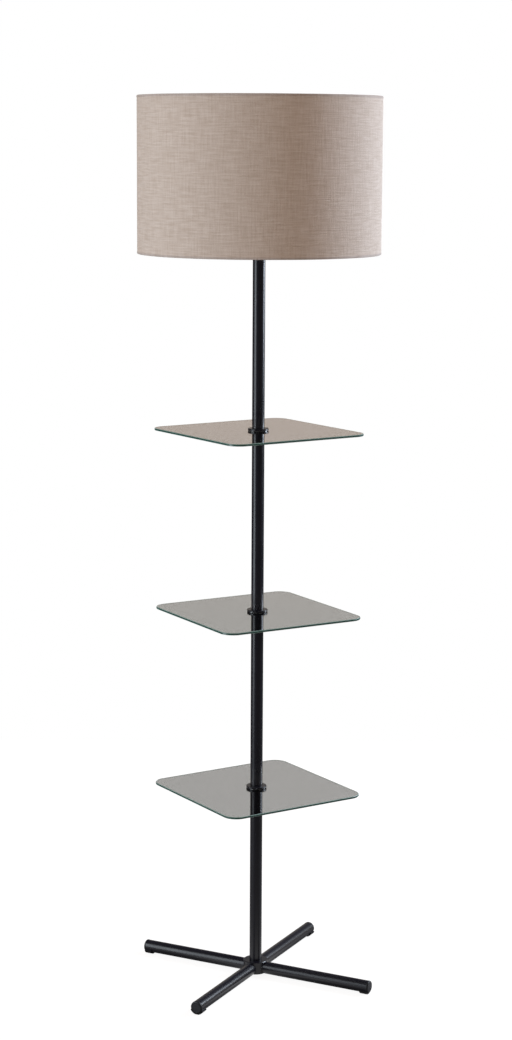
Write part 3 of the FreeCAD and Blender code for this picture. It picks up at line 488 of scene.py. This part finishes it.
# %% [markdown]
# ## The cloth of the shade
# The cloth is one long strip. A maker glues it to the lining, lets its ends overlap at the back,
# and rolls both long edges over the wires. Its shape follows a rule, so Geometry Nodes can build
# it: take the outline that the strip has when it is cut across, and carry that outline once round
# the axis.
#
# First comes the outline, from the lower turn-in round the lower wire, up the wall, round the
# upper wire and down to the upper turn-in. Each point is a pair: how far out from the wall, and
# how far from the rim, in millimetres.

# %% Outline of the cloth
WIRE_OUT, WIRE_UP = -3.3, 3.0                   # the wire's centre
WRAP = 2.25                                     # from there to the cloth's outer face
roll_up = [(-3.35, 11.0), (-3.4, 8.5), (-3.6, 6.8), (-3.95, 5.7)]
for degrees in (125, 150, 175, 200, 225, 250, 275):
    around = math.radians(degrees)
    roll_up.append((WIRE_OUT + WRAP * math.cos(around), WIRE_UP + WRAP * math.sin(around)))
roll_up += [(-2.2, 0.4), (-1.3, 0.08), (-0.6, 0.1), (-0.1, 0.45), (0.2, 1.0),
            (0.32, 1.8), (0.34, 2.8), (0.3, 3.5), (0.15, 4.0), (0.0, 4.6)]
WALL_ROWS = 30
wall_length = half_height * 2 - 2 * roll_up[-1][1] / 1000
outline = [(SHADE_RADIUS + out / 1000, shade_low + rise / 1000) for out, rise in roll_up]
outline += [(SHADE_RADIUS, shade_low + roll_up[-1][1] / 1000 + wall_length * step / WALL_ROWS)
            for step in range(1, WALL_ROWS)]
outline += [(SHADE_RADIUS + out / 1000, shade_high - rise / 1000)
            for out, rise in reversed(roll_up)]

strip = bpy.data.meshes.new("cloth_outline")
strip.from_pydata([(out, 0.0, rise) for out, rise in outline],
                  [(step, step + 1) for step in range(len(outline) - 1)], [])
cloth = bpy.data.objects.new("cloth_outline", strip)
bpy.context.scene.collection.objects.link(cloth)

# %% [markdown]
# The tree starts from a flat grid, one column of points for each outline point. A UV map with
# real metres is stored while the grid is still flat, because that is when the threads run
# straight. Then every point moves to its place on the drum: its row picks the point of the
# outline, and its column the angle. The strip starts at the back, where the seam belongs. It runs
# clockwise, which leaves the faces looking inwards, so they are turned over.

# %% Tree: from a strip to a drum
bend = bpy.data.node_groups.new("cloth_drum", "GeometryNodeTree")
bend.interface.new_socket("Geometry", in_out="INPUT", socket_type="NodeSocketGeometry")
for name, kind, value in (("Steps Round", "NodeSocketInt", 288), ("Radius", "NodeSocketFloat", 0.2),
                          ("Lap", "NodeSocketFloat", 0.01), ("Lap Rise", "NodeSocketFloat", 0.0005),
                          ("Unevenness", "NodeSocketFloat", 0.0001),
                          ("Cloth", "NodeSocketMaterial", None)):
    made_socket = bend.interface.new_socket(name, in_out="INPUT", socket_type=kind)
    if value is not None:
        made_socket.default_value = value
bend.interface.new_socket("Geometry", in_out="OUTPUT", socket_type="NodeSocketGeometry")
given = add(bend, "NodeGroupInput").outputs

line = add(bend, "GeometryNodeMeshToCurve", {"Mesh": given["Geometry"]}).outputs["Curve"]
points_up = add(bend, "GeometryNodeAttributeDomainSize", {"Geometry": line},
                component="CURVE").outputs["Point Count"]
flat = add(bend, "GeometryNodeMeshGrid", {
    "Size X": 1.0, "Size Y": 1.0, "Vertices X": given["Steps Round"], "Vertices Y": points_up,
}).outputs["Mesh"]
here = add(bend, "ShaderNodeSeparateXYZ", {
    "Vector": add(bend, "GeometryNodeInputPosition").outputs[0],
})
round_share = add(bend, "ShaderNodeMath", {0: here.outputs["X"], 1: 0.5},
                  operation="ADD").outputs[0]
up_share = add(bend, "ShaderNodeMath", {0: here.outputs["Y"], 1: 0.5}, operation="ADD").outputs[0]
last = add(bend, "ShaderNodeMath", {0: points_up, 1: 1.0}, operation="SUBTRACT").outputs[0]
row = add(bend, "ShaderNodeMath", {0: up_share, 1: last}, operation="MULTIPLY").outputs[0]
whole_row = add(bend, "ShaderNodeMath", {0: row}, operation="ROUND").outputs[0]
print("Tree", bend.name, "has a flat grid of the cloth")

# %% [markdown]
# Sample Index reads the outline at a row: once for the point itself, and once for how much cloth
# lies between it and the edge, which is the V of the UV map.

# %% Tree: UV map and bending
on_line = add(bend, "GeometryNodeSampleIndex", {
    "Geometry": line, "Value": add(bend, "GeometryNodeInputPosition").outputs[0],
    "Index": whole_row,
}, data_type="FLOAT_VECTOR", domain="POINT").outputs["Value"]
cloth_up = add(bend, "GeometryNodeSampleIndex", {
    "Geometry": line, "Value": add(bend, "GeometryNodeSplineParameter").outputs["Length"],
    "Index": whole_row,
}, data_type="FLOAT", domain="POINT").outputs["Value"]
full_turn = add(bend, "ShaderNodeMath", {0: given["Radius"], 1: 2 * math.pi, 2: given["Lap"]},
                operation="MULTIPLY_ADD").outputs[0]
cloth_round = add(bend, "ShaderNodeMath", {0: round_share, 1: full_turn},
                  operation="MULTIPLY").outputs[0]
metres = add(bend, "ShaderNodeCombineXYZ", {"X": cloth_round, "Y": cloth_up}).outputs["Vector"]
mapped = add(bend, "GeometryNodeStoreNamedAttribute", {
    "Geometry": flat, "Name": "UVMap", "Value": metres,
}, data_type="FLOAT2", domain="CORNER").outputs["Geometry"]

turn = add(bend, "ShaderNodeMath", {0: cloth_round, 1: given["Radius"]},
           operation="DIVIDE").outputs[0]
section = add(bend, "ShaderNodeSeparateXYZ", {"Vector": on_line})
sine = add(bend, "ShaderNodeMath", {0: turn}, operation="SINE").outputs[0]
cosine = add(bend, "ShaderNodeMath", {0: turn}, operation="COSINE").outputs[0]
east = add(bend, "ShaderNodeMath", {0: section.outputs["X"], 1: sine},
           operation="MULTIPLY").outputs[0]
north = add(bend, "ShaderNodeMath", {0: section.outputs["X"], 1: cosine},
            operation="MULTIPLY").outputs[0]
on_drum = add(bend, "ShaderNodeCombineXYZ", {"X": east, "Y": north, "Z": section.outputs["Z"]})
inside_out = add(bend, "GeometryNodeSetPosition", {
    "Geometry": mapped, "Position": on_drum.outputs["Vector"],
}).outputs["Geometry"]
drum = add(bend, "GeometryNodeFlipFaces", {"Mesh": inside_out}).outputs["Mesh"]
print("Tree", bend.name, "bends the cloth round the axis")

# %% [markdown]
# Two things make it look made by hand. The last centimetre of cloth climbs over the first, which
# leaves a raised line up the back. And glued cloth is never quite flat: a slow noise moves it in
# and out by about a tenth of a millimetre, enough to bend the light on it.

# %% Tree: lap, unevenness and ends
LAP_RAMP = 0.003                                # the climb onto the first layer
DENTS = 14.0                                    # per metre
cloth_uv = add(bend, "GeometryNodeInputNamedAttribute", {"Name": "UVMap"}, data_type="FLOAT_VECTOR")
round_now = add(bend, "ShaderNodeSeparateXYZ", {
    "Vector": cloth_uv.outputs["Attribute"],
}).outputs["X"]
lap_from = add(bend, "ShaderNodeMath", {0: full_turn, 1: given["Lap"]},
               operation="SUBTRACT").outputs[0]
lap_start = add(bend, "ShaderNodeMath", {0: lap_from, 1: LAP_RAMP},
                operation="SUBTRACT").outputs[0]
climb = add(bend, "ShaderNodeMapRange", {
    "Value": round_now, "From Min": lap_start, "From Max": lap_from,
    "To Min": 0.0, "To Max": given["Lap Rise"],
}, interpolation_type="SMOOTHSTEP").outputs["Result"]
slow = add(bend, "ShaderNodeTexNoise", {
    "Vector": add(bend, "GeometryNodeInputPosition").outputs[0], "Scale": DENTS, "Detail": 1.0,
}).outputs["Fac"]
wobble = add(bend, "ShaderNodeMath", {0: slow, 1: 0.5}, operation="SUBTRACT").outputs[0]
lift = add(bend, "ShaderNodeMath", {0: wobble, 1: given["Unevenness"], 2: climb},
           operation="MULTIPLY_ADD").outputs[0]
outward = add(bend, "ShaderNodeVectorMath", {
    0: add(bend, "GeometryNodeInputNormal").outputs[0], "Scale": lift,
}, operation="SCALE").outputs["Vector"]
lapped = add(bend, "GeometryNodeSetPosition", {
    "Geometry": drum, "Offset": outward,
}).outputs["Geometry"]
smooth = add(bend, "GeometryNodeSetShadeSmooth", {"Geometry": lapped}).outputs["Geometry"]
real = add(bend, "GeometryNodeRealizeInstances", {"Geometry": smooth}).outputs["Geometry"]
dressed = add(bend, "GeometryNodeSetMaterial", {"Geometry": real, "Material": given["Cloth"]})
add(bend, "NodeGroupOutput", {"Geometry": dressed.outputs["Geometry"]})
print("Tree", bend.name, "is complete with", len(bend.nodes), "nodes")

# %% [markdown]
# The tree runs as a modifier on the outline. Its inputs are set by their identifiers. A Solidify
# modifier then gives the cloth its thickness, inwards, so the outer face stays where it was
# drawn. The result is copied into a plain mesh, and the outline with its modifiers is thrown
# away.

# %% Make the cloth
LAP = 0.012
CLOTH_THICKNESS = 0.0006


def set_inputs(modifier, values):
    """Give a Geometry Nodes modifier its inputs by name, through their identifiers."""
    for item in modifier.node_group.interface.items_tree:
        if item.item_type == "SOCKET" and item.in_out == "INPUT" and item.name in values:
            modifier[item.identifier] = values[item.name]


def plain_mesh(builder, name):
    """The evaluated object as a new object with no modifiers; the builder is removed."""
    evaluated = builder.evaluated_get(bpy.context.evaluated_depsgraph_get())
    shape = bpy.data.meshes.new_from_object(evaluated)
    shape.name = name
    bpy.data.objects.remove(builder)
    made = bpy.data.objects.new(name, shape)
    bpy.context.scene.collection.objects.link(made)
    return made


nodes_step = cloth.modifiers.new("drum", "NODES")
nodes_step.node_group = bend
set_inputs(nodes_step, {"Steps Round": 288, "Radius": SHADE_RADIUS, "Lap": LAP, "Lap Rise": 0.00065,
                        "Unevenness": 0.0003, "Cloth": linen})
thicken = cloth.modifiers.new("thickness", "SOLIDIFY")
thicken.thickness = CLOTH_THICKNESS
thicken.offset = -1.0
shade = plain_mesh(cloth, "shade_linen")
wall_face = max(shade.data.polygons, key=lambda face: face.center.xy.length)
outwards = wall_face.normal.xy.dot(wall_face.center.xy) > 0
print("Cloth:", len(shade.data.polygons), "faces, outer face points outwards:", outwards)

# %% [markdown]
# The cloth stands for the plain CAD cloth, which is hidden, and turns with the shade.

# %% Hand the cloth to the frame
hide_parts("shade_cloth")
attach(shade, "shade")

# %% [markdown]
# ## Thread on the socket's sleeve
# Above the ring nut a stretch of the socket's moulded thread stays in sight. A thread is a
# profile carried along a helix, and Geometry Nodes has both: a spiral that does not widen, and
# Curve to Mesh. The real ridge is a rounded triangle, so a six-sided profile is close enough at
# this size.

# %% Moulded thread
nut_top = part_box("shade_ring_nut")[1].z
sleeve_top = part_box("socket_body")[1].z
SLEEVE_RADIUS = 0.01615
THREAD_PITCH = 0.0025
THREAD_RIDGE = 0.0007
PLAIN_END = 0.0012                              # no thread this near the nut and the rim
thread_tree = bpy.data.node_groups.new("sleeve_thread", "GeometryNodeTree")
thread_tree.interface.new_socket("Geometry", in_out="INPUT", socket_type="NodeSocketGeometry")
for name, kind in (("Turns", "NodeSocketFloat"), ("Radius", "NodeSocketFloat"),
                   ("Height", "NodeSocketFloat"), ("Ridge", "NodeSocketFloat"),
                   ("Plastic", "NodeSocketMaterial")):
    thread_tree.interface.new_socket(name, in_out="INPUT", socket_type=kind)
thread_tree.interface.new_socket("Geometry", in_out="OUTPUT", socket_type="NodeSocketGeometry")
given = add(thread_tree, "NodeGroupInput").outputs
helix = add(thread_tree, "GeometryNodeCurveSpiral", {
    "Resolution": 48, "Rotations": given["Turns"], "Start Radius": given["Radius"],
    "End Radius": given["Radius"], "Height": given["Height"],
}).outputs["Curve"]
profile = add(thread_tree, "GeometryNodeCurvePrimitiveCircle", {
    "Resolution": 6, "Radius": given["Ridge"],
}).outputs["Curve"]
ridge = add(thread_tree, "GeometryNodeCurveToMesh", {
    "Curve": helix, "Profile Curve": profile, "Fill Caps": True,
}).outputs["Mesh"]
real = add(thread_tree, "GeometryNodeRealizeInstances", {"Geometry": ridge}).outputs["Geometry"]
dressed = add(thread_tree, "GeometryNodeSetMaterial", {
    "Geometry": real, "Material": given["Plastic"],
})
add(thread_tree, "NodeGroupOutput", {"Geometry": dressed.outputs["Geometry"]})

thread_low = nut_top + PLAIN_END
thread_tall = sleeve_top - PLAIN_END - thread_low
core = bpy.data.objects.new("thread_core", bpy.data.meshes.new("thread_core"))
bpy.context.scene.collection.objects.link(core)
winding = core.modifiers.new("thread", "NODES")
winding.node_group = thread_tree
set_inputs(winding, {"Turns": thread_tall / THREAD_PITCH, "Radius": SLEEVE_RADIUS,
                     "Height": thread_tall, "Ridge": THREAD_RIDGE,
                     "Plastic": finishes["socket_black"]})
thread = plain_mesh(core, "sleeve_thread")
thread.data.transform(Matrix.Translation((0.0, 0.0, thread_low)))
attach(thread, "stand")
print(f"Thread: {thread_tall / THREAD_PITCH:.1f} turns, {len(thread.data.polygons)} faces")

# %% [markdown]
# ## Studio
# The photograph has a white background with no visible corner, soft light from the left, and a
# cooler soft light from behind on the right that draws the bright line down the right side of the
# shade and the pole. The floor is a plain white sheet: the camera sees it as white, and it still
# takes the lamp's shadow, faintly, because part of its brightness is real reflected light. What
# the steel mirrors of the sheet is a painted pool of light: its glow is bright beside the base and
# fades with the distance from it. Right under the legs that glow holds a painted shadow, where the
# legs would keep the light off it.

# %% Floor
FLOOR_HALF = 1.6
FLOOR_HEIGHT = -0.0001                          # just clear of the soles
OWN_GLOW = 0.9                                  # the rest of its white is reflected light
POOL_LEVEL, POOL_FALL = 0.07, -1.3              # mirrored brightness at one metre, and its power
UNDER_LEG, CLEAR_OF_LEG = 0.012, 0.05           # metres from a leg's line
UNDER_LEG_SHARE = 0.1
corners = [(x * FLOOR_HALF, y * FLOOR_HALF, FLOOR_HEIGHT)
           for x, y in ((-1, -1), (1, -1), (1, 1), (-1, 1))]
floor_mesh = bpy.data.meshes.new("floor")
floor_mesh.from_pydata(corners, [], [(0, 1, 2, 3)])
floor = bpy.data.objects.new("floor", floor_mesh)
bpy.context.scene.collection.objects.link(floor)

paper, tree, shader = new_finish("white_paper_floor", Roughness=0.9)
shader.inputs["Base Color"].default_value = linear("#6b6b6b")
seen = add(tree, "ShaderNodeLightPath").outputs
direct = add(tree, "ShaderNodeMath", {0: seen["Is Camera Ray"], 1: seen["Is Transmission Ray"]},
             operation="MAXIMUM").outputs[0]
floor_place = add(tree, "ShaderNodeTexCoord").outputs["Object"]
# Painted pool of light: the glow that reflections see fades with the distance from the lamp.
from_lamp = add(tree, "ShaderNodeVectorMath", {0: floor_place}, operation="LENGTH").outputs["Value"]
fading = add(tree, "ShaderNodeMath", {0: from_lamp, 1: POOL_FALL}, operation="POWER").outputs[0]
painted_pool = add(tree, "ShaderNodeMath", {0: fading, 1: POOL_LEVEL}, operation="MULTIPLY").outputs[0]
# Painted shadow: beside a leg's line that mirrored glow drops to a tenth.
painted_leg_shadow = add(tree, "ShaderNodeMapRange", {
    "Value": from_leg_line(tree, add(tree, "ShaderNodeSeparateXYZ")),
    "From Min": UNDER_LEG, "From Max": CLEAR_OF_LEG, "To Min": UNDER_LEG_SHARE, "To Max": 1.0,
}, interpolation_type="SMOOTHSTEP").outputs["Result"]
painted_pool_and_shadow = add(tree, "ShaderNodeMath", {0: painted_pool, 1: painted_leg_shadow}, operation="MULTIPLY").outputs[0]
mirrored = add(tree, "ShaderNodeMath", {0: seen["Is Glossy Ray"], 1: painted_pool_and_shadow},
               operation="MULTIPLY").outputs[0]
share = add(tree, "ShaderNodeMath", {0: direct, 1: mirrored}, operation="MAXIMUM",
            use_clamp=True).outputs[0]
glow = add(tree, "ShaderNodeMath", {0: share, 1: OWN_GLOW}, operation="MULTIPLY").outputs[0]
white = add(tree, "ShaderNodeEmission", {"Color": (1.0, 1.0, 1.0, 1.0), "Strength": glow})
paper_light = add(tree, "ShaderNodeAddShader", {0: shader.outputs[0], 1: white.outputs[0]})
tree.links.new(paper_light.outputs[0], tree.nodes["Material Output"].inputs["Surface"])
floor_mesh.materials.append(paper)
print("Floor", 2 * FLOOR_HALF, "m wide")

# %% [markdown]
# The room is the world. The camera, and rays that have passed through glass, see it white. What
# is left of it lights the lamp and shows in its reflections: a warm grey wall behind the lamp,
# cooler and then darker higher up, and a dim room in front, where the camera stands. The wall
# that is mirrored is grey and not white, because glass seen at so flat an angle mirrors a quarter
# to a half of what is behind it, and with a white wall the shelves would look paler than the real
# ones. Its tones are given in linear light, at stops that are the sine of the angle above the
# horizon.

# %% Room
WALL_TONES = (
    (0.0, (0.05, 0.05, 0.05)), (0.05, (0.58, 0.47, 0.39)), (0.13, (0.58, 0.47, 0.39)),
    (0.21, (0.51, 0.485, 0.435)), (0.31, (0.48, 0.48, 0.45)), (0.37, (0.27, 0.27, 0.32)),
    (0.5, (0.15, 0.15, 0.19)), (0.9, (0.12, 0.12, 0.15)),
)
FRONT_TONE = (0.165, 0.16, 0.18, 1.0)
ROOM_LIGHT = (0.545, 0.41, 0.325, 1.0)
WHITE = (1.0, 1.0, 1.0, 1.0)
world = bpy.data.worlds.new("studio_room")
bpy.context.scene.world = world
world.use_nodes = True
tree = world.node_tree
background = tree.nodes["Background"]
direction = add(tree, "ShaderNodeSeparateXYZ", {
    "Vector": add(tree, "ShaderNodeTexCoord").outputs["Generated"],
})
wall_tones = add(tree, "ShaderNodeValToRGB", {"Fac": direction.outputs["Z"]})
for stop, tone in WALL_TONES:
    mark = wall_tones.color_ramp.elements.new(stop) if stop else wall_tones.color_ramp.elements[0]
    mark.color = tone + (1.0,)
wall_tones.color_ramp.elements.remove(wall_tones.color_ramp.elements[-1])
behind = add(tree, "ShaderNodeMapRange", {
    "Value": direction.outputs["Y"], "From Min": -0.1, "From Max": 0.5,
}, interpolation_type="SMOOTHSTEP")
reflected = add(tree, "ShaderNodeMix", {
    "Factor": behind.outputs["Result"], 6: FRONT_TONE, 7: wall_tones.outputs["Color"],
}, data_type="RGBA")
seen = add(tree, "ShaderNodeLightPath").outputs
lit = add(tree, "ShaderNodeMix", {
    "Factor": seen["Is Glossy Ray"], 6: ROOM_LIGHT, 7: reflected.outputs[2],
}, data_type="RGBA")
direct = add(tree, "ShaderNodeMath", {0: seen["Is Camera Ray"], 1: seen["Is Transmission Ray"]},
             operation="MAXIMUM").outputs[0]
shown = add(tree, "ShaderNodeMix", {"Factor": direct, 6: lit.outputs[2], 7: WHITE},
            data_type="RGBA")
tree.links.new(shown.outputs[2], background.inputs["Color"])
print("Room made")

# %% [markdown]
# A softbox is an area lamp, large and close, so that its light wraps round the shade and its
# reflection draws a wide soft band on the pole. Each is placed by its angle round the lamp,
# measured from the camera's side, and aimed at the middle of the lamp. A shelf mirrors whatever
# stands across from the camera, so the softboxes stand where no view straight from the front, the
# sides, the back or the corners between them finds one in the glass.

# %% Softboxes
AIM = Vector((0.0, 0.0, 0.9))


def softbox(name, azimuth, height, distance, size, colour, level):
    """An area lamp at an azimuth in degrees, positive to the right, that looks at the lamp."""
    data = bpy.data.lights.new(name, "AREA")
    data.shape = "RECTANGLE"
    data.size, data.size_y = size
    data.color = linear(colour)[:3]
    data.energy = level * math.pi * distance ** 2
    lamp = bpy.data.objects.new(name, data)
    bpy.context.scene.collection.objects.link(lamp)
    angle = math.radians(azimuth)
    lamp.location = (distance * math.sin(angle), -distance * math.cos(angle), height)
    lamp.rotation_euler = (AIM - lamp.location).to_track_quat("-Z", "Y").to_euler()
    print(f"{name}: {data.energy:.0f} W")


softbox("left_softbox", -66, 1.05, 2.6, (1.4, 2.3), "#ecf5fd", 2.74)
softbox("right_softbox", 108, 1.65, 2.5, (0.9, 1.4), "#e6f1ff", 4.95)

# %% [markdown]
# ## Picture settings
# The Standard view shows colours as they are written.

# %% Finish
bpy.context.scene.view_settings.view_transform = "Standard"
